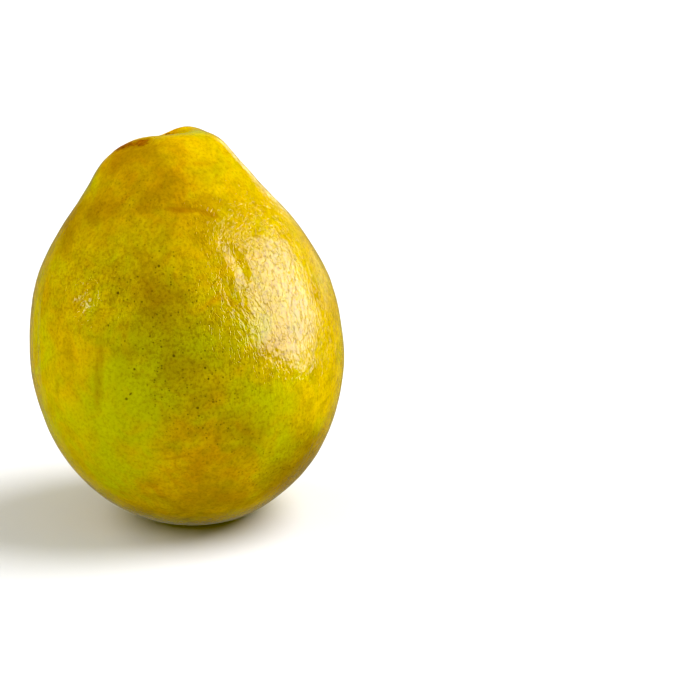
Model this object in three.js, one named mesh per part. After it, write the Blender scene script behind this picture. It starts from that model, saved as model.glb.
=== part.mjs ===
// A ripe, pear-shaped guava, picked from its stalk and standing on its blossom end.
//
// Millimetres, +Z up. The origin is on the surface that the fruit stands on, at the middle of the
// fruit's outline seen from above. The front is towards -Y, and the neck leans towards -X.
//
// The fruit grew as one piece. Its dried calyx, the remains of the flower's sepals on their disc,
// is a second piece, tucked into the pit at the blossom end with its sepals folded inwards.

import * as THREE from "three";

const { degToRad, smoothstep } = THREE.MathUtils;

// The belly and the neck
const GIRTH = 77.8; // widest diameter
const BELLY_HEIGHT = 41.4; // height of the widest place
const SHOULDER_RADIUS = 17; // where the flank of the neck starts to turn over
const SHOULDER_HEIGHT = 89.6;
const NECK_SLOPE = 0.68; // how fast the flank closes in, as radius over height
const BELLY_FULLNESS = 27; // how far the belly's upright wall carries up into the flank
const FLANK_STRAIGHTNESS = 12; // how far the neck's straight flank reaches down
const SHOULDER_ROUNDNESS = 6; // how far the flank carries on before the shoulder turns

// The stem end: a pit with a corky scar on its floor, and the rim around it
const RIM_HEIGHT = 96.4;
const RIM_RADIUS = 5.4;
const SCAR_RADIUS = 2.5;
const STEM_PIT_DEPTH = 3.4;
const SCAR_CROWN = 0.4; // how far the scar's middle stands up from the pit's floor

// The blossom end: a flat ring to stand on, around the calyx pit
const FOOT_OUTER = 13.5;
const FOOT_INNER = 9;
const CALYX_PIT_DEPTH = 5.2;
const CALYX_PIT_FLOOR = 7.6; // how far out the pit's floor carries before it bends into the wall
const CALYX_LIP = 2; // how softly the pit's wall turns over into the ring
const PUCKER_COUNT = 8;
const PUCKER_DEPTH = 0.35;

// How the fruit departs from a turned shape
const LEAN = 6.2; // how far the middle of the neck stands off to the left, at the rim
const LEAN_GROWTH = 2.2; // the power of the height with which that lean builds up
const STEM_END_BACK = 2.5; // how far the stem end lies behind the middle
const STEM_PIT_RIGHT = 1.8; // how far the stem pit lies to the right on its leaning neck
const STEM_SLOPE_X = 0.14; // how steeply the stem end climbs to the right
const STEM_SLOPE_Y = -0.22; // and how steeply it falls away to the back
const STEM_SLOPE_FROM = 62; // height where that slope starts to build up
const LOBES = [
  // Slow waves round the fruit: how many, how strong as a share of the radius, and their direction
  { count: 2, strength: 0.012, turn: 25 },
  { count: 3, strength: 0.011, turn: 70 },
  { count: 5, strength: 0.004, turn: 10 },
];
const NECK_RIBS = { count: 5, strength: 0.035, turn: -20 };
const NECK_RIB_LENGTH = 30; // how far the ribs run down from the shoulder
const SWELLS = [
  // Single knobs and hollows: direction round the fruit, height, reach, and lift of the skin
  { name: "knob on the stem pit's rim", turn: 55, height: 96, reach: 5.4, lift: 2.2 },
  { name: "right shoulder, worn down", turn: -5, height: 92, reach: 6, lift: -0.5 },
  { name: "left shoulder", turn: 205, height: 95, reach: 7, lift: 1 },
  { name: "left flank, straight", turn: 180, height: 68, reach: 14, lift: -0.7 },
  { name: "right side, full", turn: -8, height: 60, reach: 17, lift: 0.8 },
  { name: "right of the neck, straight", turn: 0, height: 83, reach: 9, lift: -0.4 },
  { name: "right cheek, flattened", turn: -42, height: 58, reach: 17, lift: -0.9 },
  { name: "hollow beside the cheek", turn: -78, height: 72, reach: 11, lift: -0.45 },
  { name: "front swelling", turn: -105, height: 40, reach: 20, lift: 0.6 },
  { name: "left side, full low down", turn: 200, height: 15, reach: 15, lift: 0.5 },
  { name: "back of the neck", turn: 95, height: 78, reach: 14, lift: -0.8 },
  { name: "back swelling", turn: 120, height: 34, reach: 18, lift: 0.7 },
];

// The calyx, in radius and height over the standing surface
const CALYX_GAP = 0.35; // room between the calyx and the floor of its pit
const DISC_SHARE = 0.94; // the disc's back, as a share of the pit's width
const STYLE_RADIUS = 0.9; // the stub of the flower's style in the middle of the disc
const STYLE_LENGTH = 1.1;
const DISC_HOLLOW = 0.25; // how far the disc's face is sunk around the style
const SEPAL_ROOT = { radius: 4.8, height: 3.3 };
const SEPAL_BEND = { radius: 7.2, height: 0.4 };
const SEPAL_TIP = { radius: 2, height: 1.4 };
const SEPAL_THICKNESS = 0.7;
const SEPAL_THINNING = 0.3; // how much thinner a sepal is at its tip, as a share
const SEPAL_SPREAD = 62; // degrees of the disc's edge that one sepal takes
const SEPAL_WEB = 0.25; // how much of their length stands where two sepals meet
const SEPALS = [
  // Where each one grew, in degrees, and the share of its length that is left
  { turn: 4, reach: 1 },
  { turn: 74, reach: 0.8 },
  { turn: 148, reach: 0.95 },
  { turn: 215, reach: 0.7 },
  { turn: 290, reach: 0.88 },
];

// How finely the surfaces are divided
const COLUMNS = 80;
const CALYX_COLUMNS = 60;
const STEPS = {
  calyxPit: 6,
  foot: 2,
  belly: 13,
  flank: 14,
  shoulder: 6,
  stemPit: 5,
  scar: 2,
  sepal: 6,
};

// The blossom pit's wall, from the middle of its floor to the flat ring.
function calyxPitCurve() {
  return new THREE.CubicBezierCurve(
    new THREE.Vector2(0, CALYX_PIT_DEPTH),
    new THREE.Vector2(CALYX_PIT_FLOOR, CALYX_PIT_DEPTH),
    new THREE.Vector2(FOOT_INNER - CALYX_LIP, 0),
    new THREE.Vector2(FOOT_INNER, 0),
  );
}

// The lower half is an arc of an ellipse that meets the ground at the foot's outer edge.
function bellyCurve() {
  const radius = GIRTH / 2;
  const depth = BELLY_HEIGHT / Math.sqrt(1 - (FOOT_OUTER / radius) ** 2);
  const start = -Math.acos(FOOT_OUTER / radius);
  return new THREE.EllipseCurve(0, BELLY_HEIGHT, radius, depth, start, 0);
}

// From the widest place up the side of the neck to its shoulder.
function flankCurve() {
  return new THREE.CubicBezierCurve(
    new THREE.Vector2(GIRTH / 2, BELLY_HEIGHT),
    new THREE.Vector2(GIRTH / 2, BELLY_HEIGHT + BELLY_FULLNESS),
    new THREE.Vector2(
      SHOULDER_RADIUS + NECK_SLOPE * FLANK_STRAIGHTNESS,
      SHOULDER_HEIGHT - FLANK_STRAIGHTNESS,
    ),
    new THREE.Vector2(SHOULDER_RADIUS, SHOULDER_HEIGHT),
  );
}

// Over the shoulder to the crest of the stem pit's rim.
function shoulderCurve() {
  return new THREE.CubicBezierCurve(
    new THREE.Vector2(SHOULDER_RADIUS, SHOULDER_HEIGHT),
    new THREE.Vector2(
      SHOULDER_RADIUS - NECK_SLOPE * SHOULDER_ROUNDNESS,
      SHOULDER_HEIGHT + SHOULDER_ROUNDNESS,
    ),
    new THREE.Vector2(RIM_RADIUS * 1.5, RIM_HEIGHT),
    new THREE.Vector2(RIM_RADIUS, RIM_HEIGHT),
  );
}

// Down the wall of the stem pit to the edge of the scar.
function stemPitCurve() {
  const floor = RIM_HEIGHT - STEM_PIT_DEPTH;
  return new THREE.CubicBezierCurve(
    new THREE.Vector2(RIM_RADIUS, RIM_HEIGHT),
    new THREE.Vector2((RIM_RADIUS + SCAR_RADIUS) / 2, RIM_HEIGHT),
    new THREE.Vector2((RIM_RADIUS + SCAR_RADIUS) / 2, floor),
    new THREE.Vector2(SCAR_RADIUS, floor),
  );
}

// The scar's corky cushion, from its edge to its middle.
function scarCurve() {
  const floor = RIM_HEIGHT - STEM_PIT_DEPTH;
  return new THREE.QuadraticBezierCurve(
    new THREE.Vector2(SCAR_RADIUS, floor),
    new THREE.Vector2(SCAR_RADIUS * 0.8, floor + SCAR_CROWN),
    new THREE.Vector2(0, floor + SCAR_CROWN),
  );
}

// Half of the fruit's section, from the middle of one pit to the middle of the other.
function outline() {
  const foot = new THREE.LineCurve(
    new THREE.Vector2(FOOT_INNER, 0),
    new THREE.Vector2(FOOT_OUTER, 0),
  );
  const stretches = [
    [calyxPitCurve(), STEPS.calyxPit],
    [foot, STEPS.foot],
    [bellyCurve(), STEPS.belly],
    [flankCurve(), STEPS.flank],
    [shoulderCurve(), STEPS.shoulder],
    [stemPitCurve(), STEPS.stemPit],
    [scarCurve(), STEPS.scar],
  ];
  const points = [stretches[0][0].getPoint(0)];
  for (const [curve, steps] of stretches) {
    points.push(...curve.getSpacedPoints(steps).slice(1));
  }
  return points;
}

// Outward directions at the points of the outline, square to the line through their neighbours.
function outlineNormals(points) {
  return points.map((_, i) => {
    const before = points[Math.max(i - 1, 0)];
    const after = points[Math.min(i + 1, points.length - 1)];
    return new THREE.Vector2(after.y - before.y, before.x - after.x).normalize();
  });
}

// A point on the turned shape, at a radius, a height and a direction round the fruit.
function turned(radius, height, angle) {
  return new THREE.Vector3(radius * Math.cos(angle), radius * Math.sin(angle), height);
}

// The outline's radius at a height on the outside of the fruit.
function radiusAt(points, height) {
  const above = points.findIndex((p, i) => i > 0 && p.x > FOOT_INNER && p.y >= height);
  if (above < 0) return RIM_RADIUS;
  const [low, high] = [points[above - 1], points[above]];
  const share = (height - low.y) / (high.y - low.y);
  return THREE.MathUtils.lerp(low.x, high.x, share);
}

// How far the knobs and hollows lift the skin at a point of the turned shape, given their centres.
function swelling(point, centres) {
  return SWELLS.reduce((sum, swell, k) => {
    const away = point.distanceTo(centres[k]) / swell.reach;
    return sum + swell.lift * Math.exp(-away * away);
  }, 0);
}

// The share by which the slow waves and the neck's ribs widen the fruit in a direction.
function lobing(angle, height) {
  const belly = smoothstep(height, 0, BELLY_HEIGHT / 2);
  const neck = smoothstep(height, SHOULDER_HEIGHT - NECK_RIB_LENGTH, SHOULDER_HEIGHT);
  const wave = ({ count, strength, turn }) =>
    strength * Math.cos(count * (angle - degToRad(turn)));
  const slow = LOBES.reduce((sum, lobe) => sum + wave(lobe), 0);
  return belly * slow + neck * wave(NECK_RIBS);
}

// The scalloped mouth of the calyx pit, which leaves the flat ring as it is.
function puckering(angle, radius, height) {
  if (radius >= FOOT_INNER || height > CALYX_PIT_DEPTH) return 0;
  const wall = Math.sin(Math.PI * (height / CALYX_PIT_DEPTH));
  return PUCKER_DEPTH * wall * Math.cos(PUCKER_COUNT * angle);
}

// A closed surface of rows from pole to pole and columns once round, each point placed by a rule.
function woundGeometry(rows, columns, place) {
  const geometry = new THREE.LatheGeometry(Array(rows).fill(new THREE.Vector2()), columns);
  const position = geometry.getAttribute("position");
  for (let v = 0; v < position.count; v++) {
    const column = Math.floor(v / rows) % columns;
    const angle = (column / columns) * 2 * Math.PI;
    const point = place(v % rows, column, angle);
    position.setXYZ(v, point.x, point.y, point.z);
  }
  geometry.computeVertexNormals();
  return geometry;
}

// The skin of the fruit: a turned surface, swollen and leant point by point.
function fruitGeometry() {
  const points = outline();
  const normals = outlineNormals(points);
  const reached = points.map((_, i) => Math.max(...points.slice(0, i + 1).map((p) => p.y)));
  const centres = SWELLS.map(({ turn, height }) =>
    turned(radiusAt(points, height), height, degToRad(turn)),
  );
  return woundGeometry(points.length, COLUMNS, (row, column, angle) => {
    const { x: radius, y: height } = points[row];
    const lift = height === 0 ? 0 : swelling(turned(radius, height, angle), centres);
    const swollen = radius === 0 ? 0 : radius + lift * normals[row].x;
    const lobed = swollen * (1 + lobing(angle, height)) + puckering(angle, radius, height);
    const around = turned(lobed, 0, angle);
    const up = reached[row] / RIM_HEIGHT;
    const inward = smoothstep(reached[row], SHOULDER_HEIGHT, RIM_HEIGHT);
    const slope = smoothstep(height, STEM_SLOPE_FROM, RIM_HEIGHT);
    return new THREE.Vector3(
      around.x - LEAN * up ** LEAN_GROWTH + STEM_PIT_RIGHT * inward,
      around.y + STEM_END_BACK * up ** 4,
      height + lift * normals[row].y + slope * (STEM_SLOPE_X * around.x + STEM_SLOPE_Y * around.y),
    );
  });
}

// Half of the calyx's section, where a share of the sepal's length is left: from the tip of the
// style's stub out over the face of the flower's disc, down the inside of the sepal, back up its
// outside, and over the back of the disc, which follows the floor of the pit.
function calyxSection(share) {
  const face = SEPAL_ROOT.height;
  const spine = new THREE.QuadraticBezierCurve(
    new THREE.Vector2(SEPAL_ROOT.radius, SEPAL_ROOT.height),
    new THREE.Vector2(SEPAL_BEND.radius, SEPAL_BEND.height),
    new THREE.Vector2(SEPAL_TIP.radius, SEPAL_TIP.height),
  );
  const side = (step, sign) => {
    const along = (step / STEPS.sepal) * share;
    const at = spine.getPoint(along);
    const tangent = spine.getTangent(along);
    const half = (sign * SEPAL_THICKNESS * (1 - SEPAL_THINNING * along)) / 2;
    return new THREE.Vector2(at.x - tangent.y * half, at.y + tangent.x * half);
  };
  const steps = [...Array(STEPS.sepal + 1).keys()];
  const back = calyxPitCurve()
    .getSpacedPoints(STEPS.calyxPit)
    .filter((p) => p.x < SEPAL_ROOT.radius)
    .map((p) => new THREE.Vector2(p.x * DISC_SHARE, p.y - CALYX_GAP));
  return [
    new THREE.Vector2(0, face - STYLE_LENGTH),
    new THREE.Vector2(STYLE_RADIUS * 0.7, face - STYLE_LENGTH),
    new THREE.Vector2(STYLE_RADIUS, face),
    new THREE.Vector2(SEPAL_ROOT.radius * 0.6, face + DISC_HOLLOW),
    ...steps.map((step) => side(step, -1)),
    ...steps.reverse().map((step) => side(step, 1)),
    ...back.reverse(),
  ];
}

// The share of a sepal's length that is left in a direction. Between two sepals only their common
// root stands.
function sepalShare(angle) {
  const shares = SEPALS.map(({ turn, reach }) => {
    const apart = THREE.MathUtils.euclideanModulo(angle - degToRad(turn) + Math.PI, 2 * Math.PI);
    const off = Math.abs(apart - Math.PI) / degToRad(SEPAL_SPREAD / 2);
    return reach * (1 - off ** 4);
  });
  return Math.max(SEPAL_WEB, ...shares);
}

function calyxGeometry() {
  const sections = [...Array(CALYX_COLUMNS).keys()].map((column) =>
    calyxSection(sepalShare((column / CALYX_COLUMNS) * 2 * Math.PI)),
  );
  return woundGeometry(sections[0].length, CALYX_COLUMNS, (row, column, angle) => {
    const { x: radius, y: height } = sections[column][row];
    return turned(radius, height, angle);
  });
}

function namedMesh(name, geometry, material) {
  const mesh = new THREE.Mesh(geometry, material);
  mesh.name = name;
  return mesh;
}

const waxySkin = new THREE.MeshStandardMaterial({
  color: 0xb39c12,
  roughness: 0.38,
  metalness: 0,
});
const dryCalyx = new THREE.MeshStandardMaterial({
  color: 0x54331a,
  roughness: 0.85,
  metalness: 0,
});

const guava = new THREE.Group();
guava.add(
  namedMesh("fruit", fruitGeometry(), waxySkin),
  namedMesh("calyx", calyxGeometry(), dryCalyx),
);
const middle = new THREE.Box3().setFromObject(guava).getCenter(new THREE.Vector3());
guava.position.set(-middle.x, -middle.y, 0);

export default guava;
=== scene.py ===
"""A ripe, pear-shaped guava standing on its blossom end, dressed for a studio picture.

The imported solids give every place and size. The fruit's fine skin and its dried calyx are drawn
over them, given their relief, and finished with procedural materials. Everything is in metres in
the solids' own frame: +Z is up, the front of the fruit faces -Y and its neck leans towards -X.
"""

import logging
import math
from dataclasses import dataclass, field
from enum import Enum

import bmesh
import bpy
import numpy as np
from mathutils import Matrix, Vector, noise
from mathutils.bvhtree import BVHTree


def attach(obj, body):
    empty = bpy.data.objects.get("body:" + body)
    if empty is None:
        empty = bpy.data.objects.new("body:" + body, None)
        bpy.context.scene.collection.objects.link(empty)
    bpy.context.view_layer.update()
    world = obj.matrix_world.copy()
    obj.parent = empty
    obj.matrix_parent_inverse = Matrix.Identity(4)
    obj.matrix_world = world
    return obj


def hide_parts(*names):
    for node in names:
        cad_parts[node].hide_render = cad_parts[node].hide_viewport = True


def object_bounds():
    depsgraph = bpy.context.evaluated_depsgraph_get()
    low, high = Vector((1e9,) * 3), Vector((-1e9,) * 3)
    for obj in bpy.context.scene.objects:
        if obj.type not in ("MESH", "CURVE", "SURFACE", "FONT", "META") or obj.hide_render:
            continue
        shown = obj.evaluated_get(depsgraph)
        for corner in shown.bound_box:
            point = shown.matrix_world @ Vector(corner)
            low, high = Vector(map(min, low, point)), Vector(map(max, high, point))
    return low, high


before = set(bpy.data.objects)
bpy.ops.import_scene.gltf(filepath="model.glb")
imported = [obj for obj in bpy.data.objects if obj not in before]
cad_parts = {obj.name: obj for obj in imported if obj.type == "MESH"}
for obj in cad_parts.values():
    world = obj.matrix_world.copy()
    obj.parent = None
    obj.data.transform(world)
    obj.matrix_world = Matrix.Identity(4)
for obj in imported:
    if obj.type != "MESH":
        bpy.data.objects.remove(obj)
cad_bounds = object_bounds()

MM = 0.001
log = logging.getLogger("guava")

Colour = tuple[float, float, float, float]
Socket = bpy.types.NodeSocket
Feed = Socket | float | Colour


class Field(Enum):
    """The attributes that the skin carries for its material."""

    GREEN = "green"
    BLUSH = "blush"
    RUSSET = "russet"
    # The speckle field also carries a patch of painted shade low on the front right.
    SPECKLE_AND_SHADE = "speckle_and_shade"
    # The dusk field darkens the skin; its patches low on the front right and at the foot are
    # painted shade.
    DUSK_AND_SHADE = "dusk_and_shade"
    WRINKLE = "wrinkle"


@dataclass(frozen=True)
class Place:
    """A place on the skin: a direction round the fruit in degrees, and a height in millimetres."""

    turn: float
    height: float


@dataclass(frozen=True)
class Pole:
    """A place seen from straight above or straight below, in millimetres from the middle."""

    x: float
    y: float
    above: bool = True


@dataclass(frozen=True)
class Tint:
    """A soft patch of one of the skin's colour fields, with its reach in millimetres."""

    field: Field
    place: Place | Pole
    reach: float
    strength: float


@dataclass(frozen=True)
class Crease:
    """A furrow over the skin through a few places, with its width and depth in millimetres.

    A low lip runs along both of its sides, at lip_away times its width from its middle.
    """

    route: tuple[Place, ...]
    width: float
    depth: float
    lip: float = 0.4
    lip_away: float = 2.2
    end_sharpness: float = 0.7


@dataclass(frozen=True)
class Wrinkles:
    """A patch of fine wrinkles: reach, spacing and depth in millimetres, and slant in degrees.

    Each wrinkle is drawn out by stretch, and bends over bend_wave times the spacing.
    """

    place: Place
    reach: float
    spacing: float
    depth: float
    slant: float
    stretch: float = 3.0
    bend: float = 1.6
    bend_wave: float = 4.0
    falloff: float = 1.4


@dataclass(frozen=True)
class Scab:
    """A round patch of rough cork: its reach, grain and depth in millimetres.

    The grain dies out at fringe times the reach.
    """

    place: Place | Pole
    reach: float
    grain: float
    depth: float
    fringe: float = 1.6


@dataclass(frozen=True)
class Mark:
    """An oval mark on the skin, with half its length and half its width in millimetres.

    It leans up to the right by its lean in degrees, and its colour has a strength of up to 1.
    """

    place: Place
    length: float
    width: float
    lean: float = 0.0
    strength: float = 0.75


class SolidSurface:
    """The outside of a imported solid, merged and smoothed, which finer pieces are drawn over.

    Points closer than MERGE become one, triangles are joined up to the two angles, and a place
    is looked for from OUTSIDE metres away.
    """

    MERGE = 0.002 * MM
    FLATNESS = math.radians(70)
    SQUARENESS = math.radians(180)
    OUTSIDE = 0.2

    def __init__(self, node: bpy.types.Object, levels: int) -> None:
        """Reads a node's mesh into a copy of its own.

        Args:
            node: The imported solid.
            levels: How many times the copy is smoothly subdivided.
        """
        self.mesh = self._smooth_copy(node, levels)
        bm = bmesh.new()
        bm.from_mesh(self.mesh)
        self.tree = BVHTree.FromBMesh(bm)
        bm.free()

    @staticmethod
    def _smooth_copy(node: bpy.types.Object, levels: int) -> bpy.types.Mesh:
        """Merges a node's loose triangles into faces with four sides and subdivides them.

        Args:
            node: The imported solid.
            levels: How many times the copy is smoothly subdivided.

        Returns:
            The new mesh.
        """
        bm = bmesh.new()
        bm.from_mesh(node.data)
        bmesh.ops.remove_doubles(bm, verts=bm.verts[:], dist=SolidSurface.MERGE)
        bmesh.ops.join_triangles(
            bm,
            faces=bm.faces[:],
            angle_face_threshold=SolidSurface.FLATNESS,
            angle_shape_threshold=SolidSurface.SQUARENESS,
        )
        mesh = bpy.data.meshes.new(node.name + "_smooth")
        bm.to_mesh(mesh)
        bm.free()
        holder = bpy.data.objects.new(mesh.name, mesh)
        bpy.context.scene.collection.objects.link(holder)
        smoother = holder.modifiers.new("smooth", "SUBSURF")
        smoother.levels = levels
        smoother.render_levels = levels
        evaluated = holder.evaluated_get(bpy.context.evaluated_depsgraph_get())
        smooth = bpy.data.meshes.new_from_object(evaluated)
        bpy.data.objects.remove(holder)
        return smooth

    def at(self, place: Place | Pole) -> Vector:
        """Finds a place on the skin.

        Args:
            place: Where to look.

        Returns:
            The point of the skin, in metres.
        """
        if isinstance(place, Pole):
            outward = Vector((0, 0, 1 if place.above else -1))
            start = outward * self.OUTSIDE + Vector((place.x, place.y, 0)) * MM
        else:
            angle = math.radians(place.turn)
            outward = Vector((math.cos(angle), math.sin(angle), 0))
            start = outward * self.OUTSIDE + Vector((0, 0, place.height * MM))
        hit, _, _, _ = self.tree.ray_cast(start, -outward)
        return hit if hit else self.tree.find_nearest(start)[0]


@dataclass
class Skin:
    """The fruit's skin, from the calyx pit over the belly and neck into the stem pit.

    It starts as a cube with cuts on every side, which is cast from the fruit's heart on to the
    solid and settled by a few rounds of smoothing. Waves and depths are in millimetres. Next to
    the ground the skin is calm: its relief starts at the height calm_foot and is whole calm_fade
    above it.
    """

    solid: SolidSurface
    cuts: int = 126
    heart: Vector = field(default_factory=lambda: Vector((0, 0, 44 * MM)))
    settling: int = 4
    slow_wave: float = 15.0
    slow_depth: float = 0.27
    dimple_wave: float = 4.6
    dimple_depth: float = 0.075
    grain_wave: float = 1.7
    grain_depth: float = 0.012
    calm_foot: float = 1.0
    calm_fade: float = 4.0
    creases: tuple[Crease, ...] = (
        Crease((Place(-40, 96), Place(-34, 90), Place(-33, 82), Place(-28, 74)), 0.9, 0.14),
        Crease((Place(-70, 75.5), Place(-65, 71), Place(-63, 66)), 1.2, 0.3),
        Crease((Place(-76, 70), Place(-73, 66), Place(-72, 61)), 0.9, 0.12),
        Crease((Place(-162, 62), Place(-158, 50), Place(-158, 38)), 1.3, 0.14),
        Crease((Place(-124, 62), Place(-122, 45), Place(-125, 24)), 1.8, 0.3),
        Crease((Place(-150, 66), Place(-146, 50), Place(-148, 30)), 2.2, 0.2),
        Crease((Place(-112, 10.5), Place(-104, 8.5), Place(-97, 8.6)), 0.8, 0.16),
        Crease((Place(-92, 9.4), Place(-80, 8.4), Place(-68, 10)), 0.8, 0.12),
        Crease((Place(-104, 83.6), Place(-88, 83.6), Place(-68, 81.2)), 0.8, 0.16),
        Crease((Place(40, 88), Place(35, 76), Place(30, 66)), 1.4, 0.2),
        Crease((Place(120, 90), Place(118, 78), Place(124, 64)), 1.6, 0.22),
        Crease((Place(170, 34), Place(166, 24), Place(158, 16)), 1.2, 0.15),
    )
    wrinkles: tuple[Wrinkles, ...] = (
        Wrinkles(Place(-68, 59), 7, 1.4, 0.08, 60, 2.2),
        Wrinkles(Place(-52, 63), 14, 1.3, 0.08, 78, 3.5),
        Wrinkles(Place(-50, 46), 10, 1.6, 0.05, 25, 3.0),
        Wrinkles(Place(-136, 63), 8, 1.6, 0.06, 70, 2.5),
        Wrinkles(Place(20, 60), 16, 1.7, 0.05, 80, 3.5),
        Wrinkles(Place(100, 52), 18, 1.8, 0.05, 65, 3.0),
        Wrinkles(Place(175, 48), 15, 1.6, 0.05, 100, 3.0),
    )
    scabs: tuple[Scab, ...] = (
        Scab(Pole(-3.7, 2.0), 2.9, 0.9, 0.16),
        Scab(Place(-148, 96.5), 2.4, 1.1, 0.12),
        Scab(Place(-176, 94.2), 2.6, 1.1, 0.12),
        Scab(Place(110, 60), 2.2, 1.2, 0.1),
    )
    tints: tuple[Tint, ...] = (
        Tint(Field.GREEN, Place(-112, 48), 12, 0.8),
        Tint(Field.GREEN, Place(-115, 35), 11, 0.8),
        Tint(Field.GREEN, Place(-84, 52), 15, 0.75),
        Tint(Field.GREEN, Place(-60, 37), 9, 0.7),
        Tint(Field.GREEN, Place(-50, 22), 11, 0.75),
        Tint(Field.GREEN, Place(-148, 28), 14, 0.65),
        Tint(Field.GREEN, Place(-122, 18), 9, 1.0),
        Tint(Field.GREEN, Place(-152, 48), 9, 0.4),
        Tint(Field.GREEN, Place(-172, 86), 6, 0.6),
        Tint(Field.GREEN, Place(-165, 60), 14, 0.3),
        Tint(Field.GREEN, Place(-112, 70), 14, 0.45),
        Tint(Field.GREEN, Place(-150, 74), 12, 0.35),
        Tint(Field.GREEN, Pole(3.0, -1.5), 5.5, 0.6),
        Tint(Field.GREEN, Place(30, 36), 20, 0.7),
        Tint(Field.GREEN, Place(95, 58), 16, 0.5),
        Tint(Field.GREEN, Place(140, 30), 20, 0.6),
        Tint(Field.GREEN, Pole(1.2, -0.3, False), 16.0, 0.4),
        Tint(Field.GREEN, Pole(-3.0, 2.0), 6.0, 0.35),
        Tint(Field.BLUSH, Place(-89, 25), 8, 0.45),
        Tint(Field.BLUSH, Place(-80, 90), 8, 0.25),
        Tint(Field.BLUSH, Place(-126, 88), 12, 0.45),
        Tint(Field.BLUSH, Place(-92, 86), 9, 0.2),
        Tint(Field.BLUSH, Pole(-3.0, 7.0), 3.0, 1.2),
        Tint(Field.BLUSH, Place(-160, 93), 5, 0.8),
        Tint(Field.BLUSH, Place(-108, 14), 9, 0.4),
        Tint(Field.BLUSH, Place(-60, 16), 9, 0.3),
        Tint(Field.BLUSH, Place(-80, 66), 6, 0.4),
        Tint(Field.BLUSH, Place(60, 88), 8, 0.4),
        Tint(Field.BLUSH, Place(160, 70), 10, 0.35),
        Tint(Field.DUSK_AND_SHADE, Place(-104, 88), 12, 0.36),
        Tint(Field.DUSK_AND_SHADE, Place(-136, 84), 10, 0.35),
        Tint(Field.DUSK_AND_SHADE, Place(-149, 96), 8, 0.7),
        Tint(Field.DUSK_AND_SHADE, Place(-156, 76), 8, 0.45),
        Tint(Field.DUSK_AND_SHADE, Place(-102, 67), 7, 0.35),
        Tint(Field.DUSK_AND_SHADE, Place(-98, 57), 10, 0.4),
        Tint(Field.DUSK_AND_SHADE, Place(-118, 70), 7, 0.4),
        Tint(Field.DUSK_AND_SHADE, Place(-72, 30), 7, 0.3),
        # Painted shade: darker at the foot, next to the ground.
        Tint(Field.DUSK_AND_SHADE, Place(-92, 11), 12, 0.5),
        # Painted shadow: a dark umber patch low on the front right.
        Tint(Field.DUSK_AND_SHADE, Place(-36, 16), 13, 0.9),
        Tint(Field.DUSK_AND_SHADE, Place(-78, 82), 8, 0.25),
        Tint(Field.DUSK_AND_SHADE, Place(80, 70), 14, 0.4),
        Tint(Field.DUSK_AND_SHADE, Place(190, 78), 12, 0.4),
        Tint(Field.SPECKLE_AND_SHADE, Place(-100, 64), 14, 0.9),
        Tint(Field.SPECKLE_AND_SHADE, Place(-93, 54), 9, 0.8),
        Tint(Field.SPECKLE_AND_SHADE, Place(-84, 46), 13, 0.6),
        Tint(Field.SPECKLE_AND_SHADE, Place(-80, 32), 18, 0.4),
        Tint(Field.SPECKLE_AND_SHADE, Place(-108, 86), 11, 0.3),
        Tint(Field.SPECKLE_AND_SHADE, Place(-140, 84), 9, 0.3),
        # Painted shade: more olive and more specks low on the front right, with the painted shadow
        # there.
        Tint(Field.SPECKLE_AND_SHADE, Place(-44, 19), 11, 1.0),
        Tint(Field.SPECKLE_AND_SHADE, Place(60, 50), 26, 0.8),
        Tint(Field.SPECKLE_AND_SHADE, Place(160, 50), 24, 0.8),
        Tint(Field.WRINKLE, Place(-48, 62), 19, 1.0),
        Tint(Field.WRINKLE, Place(-44, 76), 9, 0.6),
        Tint(Field.WRINKLE, Place(-140, 68), 12, 0.7),
        Tint(Field.WRINKLE, Place(-20, 46), 9, 0.6),
        Tint(Field.WRINKLE, Place(-68, 60), 8, 1.4),
        Tint(Field.WRINKLE, Place(-127, 66), 6, 0.8),
        Tint(Field.WRINKLE, Place(-128, 66), 14, 0.7),
        Tint(Field.WRINKLE, Place(20, 60), 22, 0.7),
        Tint(Field.WRINKLE, Place(110, 60), 26, 0.6),
        Tint(Field.WRINKLE, Place(180, 52), 18, 0.6),
        Tint(Field.RUSSET, Pole(-3.6, 5.6), 1.5, 0.75),
        Tint(Field.RUSSET, Pole(-3.7, 2.0), 2.4, 1.25),
        Tint(Field.RUSSET, Pole(-3.7, 2.0), 8.0, 0.16),
        Tint(Field.RUSSET, Pole(1.2, -0.3, False), 6.5, 1.0),
        Tint(Field.RUSSET, Pole(1.2, -0.3, False), 11.0, 0.25),
        Tint(Field.RUSSET, Place(-148, 96.5), 2.2, 1.15),
        Tint(Field.RUSSET, Place(-165, 95.4), 2.6, 0.85),
        Tint(Field.RUSSET, Place(-176, 94.2), 2.4, 0.95),
        Tint(Field.RUSSET, Place(70, 94), 3.0, 0.8),
        Tint(Field.RUSSET, Place(110, 60), 3.0, 0.6),
        Tint(Field.RUSSET, Place(15, 28), 2.6, 0.55),
    )

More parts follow.
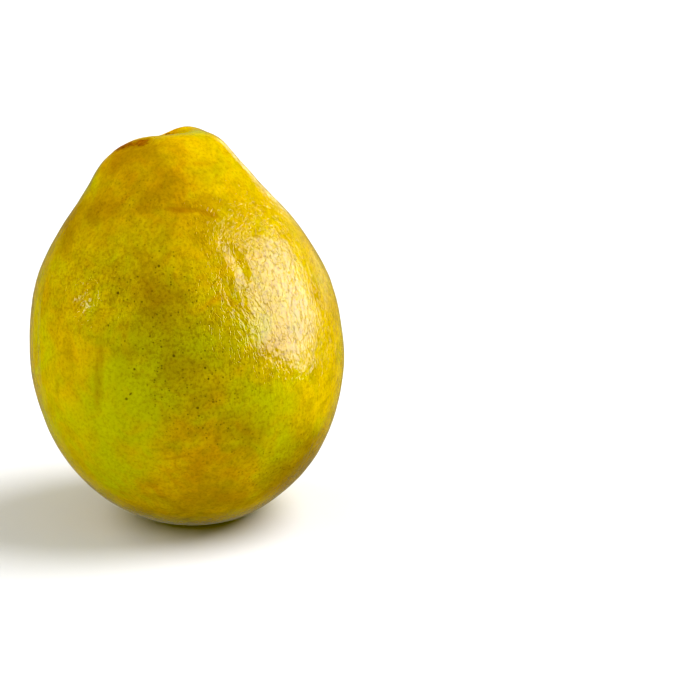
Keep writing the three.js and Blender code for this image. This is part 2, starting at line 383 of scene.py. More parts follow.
    def build(self, name: str) -> bpy.types.Object:
        """Makes the skin as one closed mesh with its colour fields.

        Args:
            name: The piece's name.

        Returns:
            The finished object.
        """
        bm = bmesh.new()
        bmesh.ops.create_cube(bm, size=2)
        bmesh.ops.subdivide_edges(bm, edges=bm.edges[:], cuts=self.cuts, use_grid_fill=True)
        for vert in bm.verts:
            vert.co = self._cast(vert.co)
        for _ in range(self.settling):
            bmesh.ops.smooth_vert(
                bm, verts=bm.verts[:], factor=0.5, use_axis_x=True, use_axis_y=True, use_axis_z=True
            )
        bmesh.ops.recalc_face_normals(bm, faces=bm.faces[:])
        bm.normal_update()
        points = np.array([vert.co for vert in bm.verts]) / MM
        normals = np.array([vert.normal for vert in bm.verts])
        raised = points + normals * self._relief(points, normals)[:, None]
        raised[:, 2] = np.maximum(raised[:, 2], 0)
        for vert, point in zip(bm.verts, raised):
            vert.co = Vector(point * MM)
        mesh = bpy.data.meshes.new(name)
        bm.to_mesh(mesh)
        bm.free()
        self._write_fields(mesh, points)
        return finished(name, mesh)

    def _cast(self, corner: Vector) -> Vector:
        """Throws a point of the cube from the fruit's heart on to its outside.

        Args:
            corner: The point, on a cube two units wide.

        Returns:
            The point on the solid, in metres.
        """
        even = Vector([math.tan(value * math.pi / 4) for value in corner])
        hit, _, _, _ = self.solid.tree.ray_cast(self.heart, even.normalized())
        return hit

    def _relief(self, points: np.ndarray, normals: np.ndarray) -> np.ndarray:
        """Works out how far each point of the skin is lifted.

        Args:
            points: The skin's points, in millimetres.
            normals: The outward directions there.

        Returns:
            The lift of each point, in millimetres.
        """
        lift = np.zeros(len(points))
        free = np.clip((points[:, 2] - self.calm_foot) / self.calm_fade, 0, 1)
        for wave, depth in (
            (self.slow_wave, self.slow_depth),
            (self.dimple_wave, self.dimple_depth),
            (self.grain_wave, self.grain_depth),
        ):
            lift += depth * np.array([noise.noise(Vector(point / wave)) for point in points])
        for crease in self.creases:
            lift += self._furrow(crease, points)
        for patch in self.wrinkles:
            lift += self._wrinkling(patch, points, normals)
        for scab in self.scabs:
            lift += self._roughening(scab, points)
        return lift * free

    def _furrow(self, crease: Crease, points: np.ndarray) -> np.ndarray:
        """Works out a crease: a groove with a low lip on both sides, dying out at its ends.

        Args:
            crease: The crease.
            points: The skin's points, in millimetres.

        Returns:
            The lift of each point, in millimetres.
        """
        stops = np.array([self.solid.at(place) / MM for place in crease.route])
        nearest = np.full(len(points), np.inf)
        along = np.zeros(len(points))
        for index, (start, end) in enumerate(zip(stops[:-1], stops[1:])):
            span = end - start
            share = np.clip((points - start) @ span / (span @ span), 0, 1)
            away = np.linalg.norm(points - start - share[:, None] * span, axis=1)
            closer = away < nearest
            nearest[closer] = away[closer]
            along[closer] = (index + share[closer]) / (len(stops) - 1)
        # A trace of the groove is left at its ends.
        ends = np.sin(np.pi * np.clip(along, 0.02, 0.98)) ** crease.end_sharpness
        across = nearest / crease.width
        groove = -np.exp(-(across**2))
        lips = crease.lip * np.exp(-((across - crease.lip_away) ** 2))
        return crease.depth * ends * (groove + lips)

    def _wrinkling(
        self, patch: Wrinkles, points: np.ndarray, normals: np.ndarray
    ) -> np.ndarray:
        """Works out a patch of wrinkles, long one way and narrow the other.

        Args:
            patch: The patch.
            points: The skin's points, in millimetres.
            normals: The outward directions there.

        Returns:
            The lift of each point, in millimetres.
        """
        centre = np.array(self.solid.at(patch.place) / MM)
        offset = points - centre
        away = np.linalg.norm(offset, axis=1) / patch.reach
        lift = np.zeros(len(points))
        # Past twice the reach the wrinkles are too faint to see.
        near = np.flatnonzero(away < 2)
        outward = normals[near[np.argmin(away[near])]]
        level = np.cross([0, 0, 1], outward)
        level /= np.linalg.norm(level)
        steep = np.cross(outward, level)
        angle = math.radians(patch.slant)
        long_way = level * math.cos(angle) + steep * math.sin(angle)
        narrow_way = steep * math.cos(angle) - level * math.sin(angle)
        for index in near:
            u = offset[index] @ long_way / (patch.spacing * patch.stretch)
            v = offset[index] @ narrow_way / patch.spacing
            bend = noise.noise(Vector(offset[index]) / (patch.spacing * patch.bend_wave))
            bent = v + bend * patch.bend
            ridge = 1 - 2 * abs(noise.noise(Vector((u, bent, patch.reach))))
            lift[index] = ridge * math.exp(-away[index] ** 2 * patch.falloff)
        return patch.depth * lift

    def _roughening(self, scab: Scab, points: np.ndarray) -> np.ndarray:
        """Works out the grain of a corky patch.

        Args:
            scab: The patch.
            points: The skin's points, in millimetres.

        Returns:
            The lift of each point, in millimetres.
        """
        offset = points - np.array(self.solid.at(scab.place) / MM)
        away = np.linalg.norm(offset, axis=1) / scab.reach
        lift = np.zeros(len(points))
        for index in np.flatnonzero(away < scab.fringe):
            grain = noise.noise(Vector(points[index] / scab.grain))
            fading = 1 + scab.fringe - scab.fringe * away[index]
            lift[index] = scab.depth * grain * min(1, fading)
        return lift

    def _write_fields(self, mesh: bpy.types.Mesh, points: np.ndarray) -> None:
        """Stores the colour fields on the mesh as attributes.

        Args:
            mesh: The skin's mesh.
            points: Its points before they got their relief, in millimetres.
        """
        values = {kind: np.zeros(len(points)) for kind in Field}
        for tint in self.tints:
            offset = points - np.array(self.solid.at(tint.place) / MM)
            away = np.linalg.norm(offset, axis=1) / tint.reach
            values[tint.field] += tint.strength * np.exp(-(away**2))
        for kind, value in values.items():
            attribute = mesh.attributes.new(kind.value, "FLOAT", "POINT")
            attribute.data.foreach_set("value", np.clip(value, 0, 3).astype(np.float32))


@dataclass
class DriedCalyx:
    """The dried sepals on their disc, in the pit at the blossom end.

    Waves and depths are in millimetres.
    """

    solid: SolidSurface
    crumple_wave: float = 1.1
    crumple_depth: float = 0.14
    vein_wave: float = 0.4
    vein_depth: float = 0.05

    def build(self, name: str) -> bpy.types.Object:
        """Makes the calyx from its smoothed solid, crumpled as dry sepals are.

        Args:
            name: The piece's name.

        Returns:
            The finished object.
        """
        bm = bmesh.new()
        bm.from_mesh(self.solid.mesh)
        bm.normal_update()
        for vert in bm.verts:
            point = vert.co / MM
            lift = self.crumple_depth * noise.noise(point / self.crumple_wave)
            lift += self.vein_depth * noise.noise(point / self.vein_wave)
            vert.co += vert.normal * lift * MM
        mesh = bpy.data.meshes.new(name)
        bm.to_mesh(mesh)
        bm.free()
        return finished(name, mesh)


def finished(name: str, mesh: bpy.types.Mesh) -> bpy.types.Object:
    """Puts a mesh in the scene as a smooth piece.

    Args:
        name: The piece's name.
        mesh: Its mesh, in the frame's place.

    Returns:
        The object, at the origin, unturned and unscaled.
    """
    mesh.shade_smooth()
    piece = bpy.data.objects.new(name, mesh)
    bpy.context.scene.collection.objects.link(piece)
    return piece


def srgb(red: int, green: int, blue: int) -> Colour:
    """Turns a colour as it is seen on a screen into a shader colour.

    Args:
        red: The red part, up to 255.
        green: The green part, up to 255.
        blue: The blue part, up to 255.

    Returns:
        The linear colour with full alpha.
    """
    parts = [value / 255 for value in (red, green, blue)]
    linear = [v / 12.92 if v <= 0.04045 else ((v + 0.055) / 1.055) ** 2.4 for v in parts]
    return (*linear, 1.0)


class Sketch:
    """A material's node tree, with the few steps that the finishes share."""

    SOCKETS = {"specular_ior_level": "Specular IOR Level"}

    def __init__(self, name: str) -> None:
        """Starts a material with one Principled shader.

        Args:
            name: The material's name.
        """
        self.material = bpy.data.materials.new(name)
        self.material.use_nodes = True
        self.tree = self.material.node_tree
        self.shader = self.tree.nodes["Principled BSDF"]
        self.place = self.tree.nodes.new("ShaderNodeTexCoord").outputs["Object"]

    def set(self, **sockets: float | Colour) -> None:
        """Sets plain values on the shader, with the sockets' names in lower case."""
        for name, value in sockets.items():
            label = self.SOCKETS.get(name, name.replace("_", " ").title())
            self.shader.inputs[label].default_value = value

    def link(self, source: Socket, socket: str) -> None:
        """Leads a value into one of the shader's sockets."""
        self.tree.links.new(source, self.shader.inputs[socket])

    def _feed(self, socket: Socket, value: Feed) -> None:
        """Gives a socket a link or a plain value."""
        if isinstance(value, Socket):
            self.tree.links.new(value, socket)
        else:
            socket.default_value = value

    def attribute(self, kind: Field) -> Socket:
        """Reads one of the skin's colour fields."""
        node = self.tree.nodes.new("ShaderNodeAttribute")
        node.attribute_name = kind.value
        return node.outputs["Fac"]

    def clouded(
        self, kind: Field, wave: float, shift: float, warp: float, sway: float
    ) -> Socket:
        """Reads one of the skin's colour fields and makes it uneven.

        Args:
            kind: The field.
            wave: The wavelength of the unevenness, in millimetres.
            shift: Moves it along.
            warp: How far it is twisted.
            sway: How much it adds to the field or takes away.

        Returns:
            The uneven field.
        """
        cloud = self.noise(wave, 3, 0.5, shift, warp=warp)
        return self.math("ADD", self.attribute(kind), self.span(cloud, 0.25, 0.75, -sway, sway))

    def noise(
        self,
        wave: float,
        detail: float = 2.0,
        roughness: float = 0.5,
        shift: float = 0.0,
        tall: float = 1.0,
        warp: float = 0.0,
        lean: float = 0.0,
    ) -> Socket:
        """Adds a noise pattern.

        Args:
            wave: The pattern's wavelength, in millimetres.
            detail: How many finer octaves it has.
            roughness: How strong those are.
            shift: Moves the pattern along, so that two of them differ.
            tall: How many times taller than wide its blots are.
            warp: How far the pattern is twisted.
            lean: How far the tall blots lean over to the right, in degrees.

        Returns:
            The pattern's value, from 0 to 1.
        """
        node = self.tree.nodes.new("ShaderNodeTexNoise")
        node.inputs["Scale"].default_value = 1 / (wave * MM)
        node.inputs["Detail"].default_value = detail
        node.inputs["Roughness"].default_value = roughness
        node.inputs["Distortion"].default_value = warp
        self._feed(node.inputs["Vector"], self.moved(shift, tall, lean))
        return node.outputs["Fac"]

    def moved(self, shift: float, tall: float = 1.0, lean: float = 0.0) -> Socket:
        """Moves the object coordinates, draws them out in height and leans them.

        Args:
            shift: The distance along every axis, in metres.
            tall: How many times they are drawn out.
            lean: How far they lean over to the right, in degrees.

        Returns:
            The new coordinates.
        """
        if shift == 0 and tall == 1:
            return self.place
        node = self.tree.nodes.new("ShaderNodeMapping")
        node.vector_type = "TEXTURE"
        node.inputs["Location"].default_value = (shift, shift, shift)
        node.inputs["Rotation"].default_value = (0, math.radians(lean), 0)
        node.inputs["Scale"].default_value = (1, 1, tall)
        self.tree.links.new(self.place, node.inputs["Vector"])
        return node.outputs["Vector"]

    def dots(
        self, wave: float, radius: float, share: float, shift: float = 0.0
    ) -> Socket:
        """Adds scattered round dots with soft edges.

        Args:
            wave: The distance between the places where a dot may sit, in millimetres.
            radius: The largest dot's radius, as a share of that distance.
            share: How many of the places hold a dot.
            shift: Moves the pattern along.

        Returns:
            1 inside a dot and 0 outside.
        """
        cells = self.tree.nodes.new("ShaderNodeTexVoronoi")
        cells.inputs["Scale"].default_value = 1 / (wave * MM)
        self._feed(cells.inputs["Vector"], self.moved(shift))
        split = self.tree.nodes.new("ShaderNodeSeparateColor")
        self.tree.links.new(cells.outputs["Color"], split.inputs["Color"])
        size = self.span(split.outputs["Red"], 1 - share, 1.0, 0.0, radius)
        inside = self.math("SUBTRACT", size, cells.outputs["Distance"])
        return self.span(inside, 0.0, radius * 0.6, 0.0, 1.0)

    def mark(self, mark: Mark, solid: SolidSurface) -> Socket:
        """Adds one oval mark with a soft edge.

        Args:
            mark: The mark.
            solid: The surface that it is placed on.

        Returns:
            The mark's strength in its middle and 0 outside.
        """
        node = self.tree.nodes.new("ShaderNodeMapping")
        node.vector_type = "TEXTURE"
        node.inputs["Location"].default_value = solid.at(mark.place)
        node.inputs["Rotation"].default_value = (0, -math.radians(mark.lean), 0)
        node.inputs["Scale"].default_value = (mark.length * MM, mark.length * MM, mark.width * MM)
        self.tree.links.new(self.place, node.inputs["Vector"])
        size = self.tree.nodes.new("ShaderNodeVectorMath")
        size.operation = "LENGTH"
        self.tree.links.new(node.outputs["Vector"], size.inputs[0])
        return self.span(size.outputs["Value"], 0.4, 1.0, mark.strength, 0.0)

    def math(self, operation: str, first: Feed, second: Feed = 0.0) -> Socket:
        """Joins two values by an operation of the Math node."""
        node = self.tree.nodes.new("ShaderNodeMath")
        node.operation = operation
        self._feed(node.inputs[0], first)
        self._feed(node.inputs[1], second)
        return node.outputs[0]

    def span(
        self, value: Feed, low: float, high: float, bottom: float = 0.0, top: float = 1.0
    ) -> Socket:
        """Maps a range of a value smoothly to another range, and holds it there.

        Args:
            value: The value.
            low: Where the range starts.
            high: Where it ends.
            bottom: What the start becomes.
            top: What the end becomes.

        Returns:
            The mapped value.
        """
        node = self.tree.nodes.new("ShaderNodeMapRange")
        node.interpolation_type = "SMOOTHSTEP"
        limits = {"From Min": low, "From Max": high, "To Min": bottom, "To Max": top}
        for label, number in limits.items():
            node.inputs[label].default_value = number
        self._feed(node.inputs["Value"], value)
        return node.outputs["Result"]

    def mix(
        self, share: Feed, first: Feed, second: Feed, blend: str = "MIX"
    ) -> Socket:
        """Mixes two colours.

        Args:
            share: How much of the second colour there is.
            first: The first colour.
            second: The second colour.
            blend: How they are blended.

        Returns:
            The mixed colour.
        """
        node = self.tree.nodes.new("ShaderNodeMix")
        node.data_type = "RGBA"
        node.blend_type = blend
        self._feed(node.inputs["Factor"], share)
        self._feed(node.inputs[6], first)
        self._feed(node.inputs[7], second)
        return node.outputs[2]

    def bump(self, layers: list[tuple[Socket, float]]) -> None:
        """Lays bumps over each other and leads them to the shader.

        Args:
            layers: The value of each layer and its height, in millimetres.
        """
        normal = None
        for value, height in layers:
            node = self.tree.nodes.new("ShaderNodeBump")
            node.inputs["Distance"].default_value = height * MM
            self._feed(node.inputs["Height"], value)
            if normal:
                self.tree.links.new(normal, node.inputs["Normal"])
            normal = node.outputs["Normal"]
        self.link(normal, "Normal")


@dataclass(frozen=True)
class WaxySkin:
    """The finish of the ripe skin: yellow with green cheeks, pores, specks and russet, with painted
    shade low on the front right and at the foot.

    Waves and the heights of the bumps are in millimetres, and a pore's height is its depth.
    """

    ripe: Colour = srgb(212, 181, 2)
    deep: Colour = srgb(196, 161, 2)
    olive: Colour = srgb(146, 128, 2)
    green: Colour = srgb(182, 184, 2)
    blush: Colour = srgb(196, 143, 2)
    # Umber is the dusk colour, and also the painted shade low on the front right and at the foot.
    umber_and_shade: Colour = srgb(146, 108, 2)
    fleck: Colour = srgb(212, 198, 186)
    speck: Colour = srgb(74, 64, 3)
    dot: Colour = srgb(56, 34, 8)
    cork: Colour = srgb(98, 44, 10)
    tan: Colour = srgb(150, 92, 24)
    ochre: Colour = srgb(150, 100, 2)
    dots: tuple[Mark, ...] = (
        Mark(Place(-102, 71.7), 0.5, 0.5),
        Mark(Place(-118, 65.4), 0.5, 0.5),
        Mark(Place(-112, 41.1), 0.5, 0.5),
        Mark(Place(-110.5, 42.4), 0.6, 0.3, 50),
        Mark(Place(-87, 39.3), 0.5, 0.5),
        Mark(Place(-109, 48.5), 0.4, 0.4),
        Mark(Place(-84, 48.9), 0.4, 0.4),
        Mark(Place(-95, 51.9), 0.5, 0.5),
        Mark(Place(-83, 46.2), 0.35, 0.35),
        Mark(Place(62, 47), 0.5, 0.5),
        Mark(Place(151, 55), 0.45, 0.45),
    )
    lines: tuple[Mark, ...] = (
        Mark(Place(-93, 83.5), 5.2, 0.8, -6, 0.5),
        Mark(Place(-77, 82.4), 4.6, 0.8, -20, 0.5),
        Mark(Place(-96, 26), 4.0, 0.6, 14, 0.4),
        Mark(Place(-122.5, 46), 13, 1.6, 86, 0.3),
        Mark(Place(70, 60), 5.0, 0.8, -20, 0.4),
    )
    pore_wave: float = 0.8
    speck_wave: float = 0.85
    mottle_wave: float = 0.75
    specular: float = 0.38
    polish: tuple[float, float] = (0.1, 0.16)
    dull_rim: float = 0.25
    dull_cork: float = 0.35
    swell: float = 0.05
    pebble: float = 0.1
    grit: float = 0.006
    groove: float = 0.05
    dash: float = 0.09
    pore: float = -0.008
    crust: float = 0.12

    def make(self, solid: SolidSurface) -> bpy.types.Material:
        """Builds the material.

        Args:
            solid: The surface on which the blemishes are placed.

        Returns:
            The material.
        """
        s = Sketch("waxy_skin")
        pores = s.dots(self.pore_wave, 0.36, 0.8, shift=1.7)
        ragged = s.span(s.noise(1.3, 4, 0.7, shift=5.1), 0.25, 0.75, -0.4, 0.4)
        russet = s.span(s.math("ADD", s.attribute(Field.RUSSET), ragged), 0.38, 0.82)
        ground = self._specks(s, self._patches(s), pores)
        s.link(self._blemishes(s, ground, russet, solid), "Base Color")
        s.link(self._roughness(s, russet), "Roughness")
        s.set(specular_ior_level=self.specular)
        s.bump(self._bumps(s, pores, russet))
        return s.material

    def _patches(self, s: Sketch) -> Socket:
        """Lays the soft patches over the yellow ground: olive, green, ruddy and dusky, and the
        painted shade low on the front right and at the foot.

        Args:
            s: The material's nodes.

        Returns:
            The colour.
        """
        ground = s.mix(s.span(s.noise(24, 3, 0.55, warp=0.6), 0.35, 0.65), self.ripe, self.deep)
        blots = s.noise(4.5, 3, 0.55, shift=0.9, warp=0.8)
        ground = s.mix(s.span(blots, 0.36, 0.74, 0, 0.48), ground, self.olive)
        cheeks = s.clouded(Field.GREEN, 9, 0.3, 1.0, 0.35)
        ground = s.mix(s.span(cheeks, -0.1, 1.25, 0, 0.95), ground, self.green)
        warm = s.clouded(Field.BLUSH, 6, 0.7, 1.0, 0.35)
        ground = s.mix(s.span(warm, 0, 1.1, 0, 0.85), ground, self.blush)
        # The speckle field's patch low on the front right adds painted shade in olive.
        crowd_and_shade = s.math("ADD", s.attribute(Field.SPECKLE_AND_SHADE), s.span(blots, 0.3, 0.7, -0.3, 0.3))
        ground = s.mix(s.span(crowd_and_shade, 0.2, 1.3, 0, 0.28), ground, self.olive)
        # Dusk darkens the skin towards umber; its patches low on the front right and at the foot
        # are painted shade.
        dusk_and_shade = s.clouded(Field.DUSK_AND_SHADE, 8, 3.3, 0.8, 0.25)
        return s.mix(s.span(dusk_and_shade, -0.05, 1, 0, 0.8), ground, self.umber_and_shade)

    def _specks(self, s: Sketch, ground: Socket, pores: Socket) -> Socket:
        """Darkens the skin with its fine mottle, its pores and crowds of olive specks.

        Args:
            s: The material's nodes.
            ground: The colour so far.
            pores: Where the pores are.

        Returns:
            The new colour.
        """
        # The mottle is strongest where the skin is speckled or wrinkled.
        rough = s.math("MAXIMUM", s.attribute(Field.SPECKLE_AND_SHADE), s.attribute(Field.WRINKLE))
        mottle = s.span(s.noise(self.mottle_wave, 3, 0.6, shift=1.1), 0.4, 0.72)
        mottle = s.math("MULTIPLY", mottle, s.span(rough, 0, 1.4, 0.62, 1))
        ground = s.mix(mottle, ground, self.fleck, "MULTIPLY")
        ground = s.mix(s.math("MULTIPLY", pores, 0.2), ground, self.olive)
        # The specks come in crowds, and a few lie all over.
        # The speckle field's patch low on the front right crowds the specks there as painted shade.
        crowd_and_shade = s.math("ADD", s.attribute(Field.SPECKLE_AND_SHADE), s.noise(5, 3, 0.6, shift=2.1))
        specks = s.dots(self.speck_wave, 0.4, 0.85, shift=2.9)
        specks = s.math("MULTIPLY", specks, s.span(crowd_and_shade, 0.5, 1.3, 0.15, 1))
        return s.mix(s.math("MULTIPLY", specks, 0.7), ground, self.speck)

    def _blemishes(
        self, s: Sketch, ground: Socket, russet: Socket, solid: SolidSurface
    ) -> Socket:
        """Adds the dark dots, the ochre lines and the corky patches.

        Args:
            s: The material's nodes.
            ground: The colour so far.
            russet: Where the cork is.
            solid: The surface on which the marks are placed.

        Returns:
            The new colour.
        """
        # A few dots are scattered by chance, and the rest have places of their own.
        small, large = s.dots(8.5, 0.05, 0.5, shift=4.3), s.dots(15, 0.042, 0.5, shift=4.9)
        spots = s.math("MULTIPLY", s.math("MAXIMUM", small, large), 0.75)
        for mark in self.dots:
            spots = s.math("MAXIMUM", spots, s.mark(mark, solid))
        ground = s.mix(spots, ground, self.dot)
        for mark in self.lines:
            ground = s.mix(s.mark(mark, solid), ground, self.ochre)
        cork = s.mix(s.span(s.noise(0.8, 3, 0.6, shift=6.3), 0.35, 0.65), self.cork, self.tan)
        return s.mix(russet, ground, cork)

    def _roughness(self, s: Sketch, russet: Socket) -> Socket:
        """Works out how dull the skin is: waxy, but dull on cork and round it.

        Args:
            s: The material's nodes.
            russet: Where the cork is.

        Returns:
            The roughness.
        """
        gloss = s.span(s.noise(3.2, 3, 0.6, shift=7.7), 0.3, 0.7, *self.polish)
        rim = s.span(s.attribute(Field.RUSSET), 0.03, 0.3, 0, self.dull_rim)
        dull = s.math("MAXIMUM", rim, s.math("MULTIPLY", russet, self.dull_cork))
        return s.math("ADD", gloss, dull)

    def _bumps(self, s: Sketch, pores: Socket, russet: Socket) -> list[tuple[Socket, float]]:
        """Works out the relief that is too fine for the mesh.

        Args:
            s: The material's nodes.
            pores: Where the pores are.
            russet: Where the cork is.

        Returns:
            Each layer and its height, in millimetres.
        """
        wrinkle = s.attribute(Field.WRINKLE)
        # Fine grooves wander down the skin, deepest where it is wrinkled.
        wander = s.noise(1.5, 3, 0.5, shift=9.7, tall=3.2, warp=0.4)
        wander = s.math("ABSOLUTE", s.math("SUBTRACT", wander, 0.5))
        grooves = s.span(wander, 0, 0.06, -1, 0)
        grooves = s.math("MULTIPLY", grooves, s.span(wrinkle, 0, 1, 0.3, 1))
        # Low, tall pebbles stand between them, and are calmer where it is wrinkled.
        pebbles = s.noise(1.0, 2, 0.5, shift=11.3, tall=2.2)
        pebbles = s.math("MULTIPLY", pebbles, s.span(wrinkle, 0.2, 1, 2.2, 0.8))
        # Slanting dashes lie only in the most wrinkled patches.
        dashes = s.span(s.noise(1.0, 1, 0.4, shift=12.1, tall=3.0, lean=-38), 0.5, 0.66)
        dashes = s.math("MULTIPLY", dashes, s.span(wrinkle, 1.1, 2.2, 0, 1))
        return [
            (s.noise(2.6, 3, 0.55, shift=8.9), self.swell),
            (pebbles, self.pebble),
            (s.noise(0.55, 1, 0.5, shift=13.1), self.grit),
            (grooves, self.groove),
            (dashes, self.dash),
            (pores, self.pore),
            (s.math("MULTIPLY", russet, s.noise(0.5, 3, 0.6, shift=10.1)), self.crust),
        ]


@dataclass(frozen=True)
class PaperyCalyx:
    """The finish of the dried sepals: dark brown, with tan, papery edges and dark folds.

    The heights of the folds and of the fibres are in millimetres.
    """

    dark: Colour = srgb(58, 32, 14)
    brown: Colour = srgb(104, 64, 28)
    tan: Colour = srgb(176, 128, 70)
    roughness: float = 0.82
    fold: float = 0.12
    fibre: float = 0.04

    def make(self) -> bpy.types.Material:
        """Builds the material.

        Returns:
            The material.
        """
        s = Sketch("dry_calyx")
        ground = s.mix(s.span(s.noise(2.2, 4, 0.6), 0.35, 0.62), self.dark, self.brown)
        ground = s.mix(s.span(s.noise(0.9, 4, 0.65, shift=0.4), 0.52, 0.72), ground, self.tan)
        s.link(ground, "Base Color")
        s.set(roughness=self.roughness)
        folds = s.noise(0.6, 4, 0.65, shift=0.9)
        fibres = s.noise(0.2, 2, 0.5, shift=1.3)
        s.bump([(folds, self.fold), (fibres, self.fibre)])
        return s.material


@dataclass(frozen=True)
class StudioFloor:
    """A plain pale floor, far wider than the picture, which the waxy skin doesn't mirror."""

    width: float = 12.0
    pale: Colour = srgb(216, 216, 216)
    paler: Colour = srgb(219, 219, 219)
    roughness: float = 0.9

    def build(self) -> bpy.types.Object:
        """Lays the floor at the height that the fruit stands on.

        Returns:
            The floor.
        """
        bm = bmesh.new()
        bmesh.ops.create_grid(bm, x_segments=4, y_segments=4, size=self.width / 2)
        mesh = bpy.data.meshes.new("studio_floor")
        bm.to_mesh(mesh)
        bm.free()
        floor = finished("studio_floor", mesh)
        s = Sketch("pale_floor")
        s.link(s.mix(s.span(s.noise(300), 0.3, 0.7), self.pale, self.paler), "Base Color")
        s.set(roughness=self.roughness)
        mesh.materials.append(s.material)
        floor.visible_glossy = False
        return floor


@dataclass(frozen=True)
class Direction:
    """A direction from the fruit: degrees to the right of its front, and degrees of rise."""

    side: float
    rise: float

    def vector(self) -> Vector:
        """Gives the direction as a vector of length one."""
        side, rise = math.radians(self.side), math.radians(self.rise)
        flat = math.cos(rise)
        return Vector((math.sin(side) * flat, -math.cos(side) * flat, math.sin(rise)))


@dataclass(frozen=True)
class SoftBox:
    """A soft rectangular lamp that looks at the fruit's middle and only gives it a gleam.

    Its distance and its sides are in metres, and it is rolled about its own line of sight.
    """

    name: str
    direction: Direction
    distance: float
    width: float
    tall: float
    radiance: float
    roll: float = 0.0
    colour: tuple[float, float, float] = (1.0, 1.0, 1.0)

    def hang(self, target: Vector) -> None:
        """Hangs the lamp, which the camera itself never sees.

        Args:
            target: What it looks at.
        """
        data = bpy.data.lights.new(self.name, "AREA")
        data.shape = "RECTANGLE"
        data.size = self.width
        data.size_y = self.tall
        data.energy = self.radiance * math.pi * self.width * self.tall
        data.color = self.colour
        away = self.direction.vector()
        lamp = bpy.data.objects.new(self.name, data)
        lamp.location = target + away * self.distance
        level = (-away).to_track_quat("-Z", "Y").to_matrix()
        lamp.rotation_euler = (level @ Matrix.Rotation(math.radians(self.roll), 3, "Z")).to_euler()
        lamp.visible_camera = False
        lamp.visible_diffuse = False
        bpy.context.scene.collection.objects.link(lamp)


@dataclass(frozen=True)
class WideSky:
    """A wide, even light from above, which doesn't fall off and which the skin doesn't mirror."""

    name: str
    direction: Direction
    spread: float
    strength: float

    def hang(self, target: Vector) -> None:
        """Hangs the light over the fruit.

        Args:
            target: What it looks at.
        """
        data = bpy.data.lights.new(self.name, "SUN")
        data.angle = math.radians(self.spread)
        data.energy = self.strength
        away = self.direction.vector()
        lamp = bpy.data.objects.new(self.name, data)
        lamp.location = target + away
        lamp.rotation_euler = (-away).to_track_quat("-Z", "Y").to_euler()
        lamp.visible_camera = False
        lamp.visible_glossy = False
        bpy.context.scene.collection.objects.link(lamp)


@dataclass(frozen=True)
class StudioCamera:
    """A long lens that looks down on the fruit and frames it to the left of the middle.

    The elevation is in degrees, the distance in metres, the lens and the sensor in millimetres,
    and the square picture's side and the place of the fruit's middle in it are in pixels.
    """

    elevation: float = 16.0
    distance: float = 0.585
    lens: float = 120.0
    sensor: float = 36.0
    picture: int = 700
    fruit_middle: tuple[float, float] = (180.6, 322.6)

    def place(self, target: Vector) -> bpy.types.Object:
        """Sets up the camera so that the fruit's middle falls on its place in the picture.

        Args:
            target: The fruit's middle.

        Returns:
            The camera.
        """
        rise = math.radians(self.elevation)
        back = Vector((0, -math.cos(rise), math.sin(rise)))
        focal = self.lens / self.sensor * self.picture
        right_of_fruit = math.atan((self.picture / 2 - self.fruit_middle[0]) / focal)
        above_middle = math.atan((self.picture / 2 - self.fruit_middle[1]) / focal)
        heading = Matrix.Rotation(-right_of_fruit, 3, "Z") @ (-back)
        level = heading.cross(Vector((0, 0, 1))).normalized()
        position = target + back * self.distance
        lifted = level.cross(heading)
        sight = (target - position).normalized()
        pitch = math.atan2(sight.dot(lifted), sight.dot(heading)) - above_middle
        heading = Matrix.Rotation(pitch, 3, level) @ heading
        data = bpy.data.cameras.new("studio_camera")
        data.lens = self.lens
        data.sensor_width = self.sensor
        camera = bpy.data.objects.new("studio_camera", data)
        camera.location = position
        camera.rotation_euler = heading.to_track_quat("-Z", "Y").to_euler()
        bpy.context.scene.collection.objects.link(camera)
        bpy.context.scene.camera = camera
        return camera


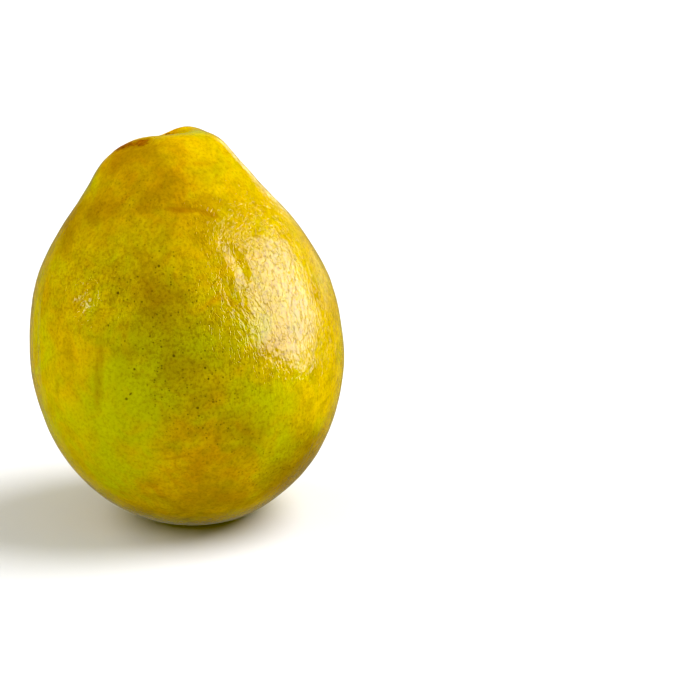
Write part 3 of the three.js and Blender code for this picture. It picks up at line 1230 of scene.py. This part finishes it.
@dataclass
class Studio:
    """The floor, the light and the camera.

    The surround is a faint light from all sides, and blue_cut deepens the yellows a little.
    """

    floor: StudioFloor = StudioFloor()
    camera: StudioCamera = StudioCamera()
    surround: float = 0.24
    blue_cut: float = 0.035
    lamps: tuple[SoftBox | WideSky, ...] = (
        SoftBox("window", Direction(80, 17), 0.45, 0.44, 0.32, 8.3, -23, (0.69, 0.69, 0.95)),
        SoftBox("left_window", Direction(-76, 17), 0.8, 0.26, 0.09, 8.0, 25, (0.9, 0.9, 1.0)),
        SoftBox("shoulder_rim", Direction(159, 10), 0.9, 0.1, 0.26, 3.2, 0, (1.0, 0.92, 0.75)),
        SoftBox("right_glow", Direction(136, 1), 0.5, 0.24, 0.07, 0.9, 0, (1.0, 0.95, 0.85)),
        WideSky("key", Direction(100, 50), 50, 4.0),
        WideSky("fill", Direction(-98, 34), 60, 1.95),
        WideSky("ceiling", Direction(0, 80), 90, 0.25),
    )

    def set_up(self, target: Vector) -> None:
        """Sets up the studio round the fruit.

        Args:
            target: The fruit's middle.
        """
        self.floor.build()
        for lamp in self.lamps:
            lamp.hang(target)
        self.camera.place(target)
        scene = bpy.context.scene
        world = bpy.data.worlds.new("studio")
        world.use_nodes = True
        background = world.node_tree.nodes["Background"]
        background.inputs["Color"].default_value = (1, 1, 1, 1)
        background.inputs["Strength"].default_value = self.surround
        scene.world = world
        scene.view_settings.view_transform = "Standard"
        scene.view_settings.look = "Medium High Contrast"
        scene.view_settings.use_curve_mapping = True
        scene.view_settings.curve_mapping.black_level = (0.0, 0.0, self.blue_cut)


def dress(
    piece: bpy.types.Object, material: bpy.types.Material, node: str
) -> None:
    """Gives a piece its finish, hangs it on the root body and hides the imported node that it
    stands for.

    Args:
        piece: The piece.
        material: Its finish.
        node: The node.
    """
    piece.data.materials.append(material)
    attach(piece, "root")
    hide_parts(node)
    log.info("%s: %d faces", piece.name, len(piece.data.polygons))


def main() -> None:
    """Builds the guava and its studio."""
    logging.basicConfig(level=logging.INFO, format="%(name)s %(message)s")
    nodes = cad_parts
    fruit = SolidSurface(nodes["fruit"], levels=2)
    dress(Skin(fruit).build("guava_skin"), WaxySkin().make(fruit), "fruit")
    calyx = DriedCalyx(SolidSurface(nodes["calyx"], levels=2)).build("dried_calyx")
    dress(calyx, PaperyCalyx().make(), "calyx")
    low, high = cad_bounds
    Studio().set_up((low + high) / 2)


if __name__ == "__main__":
    main()
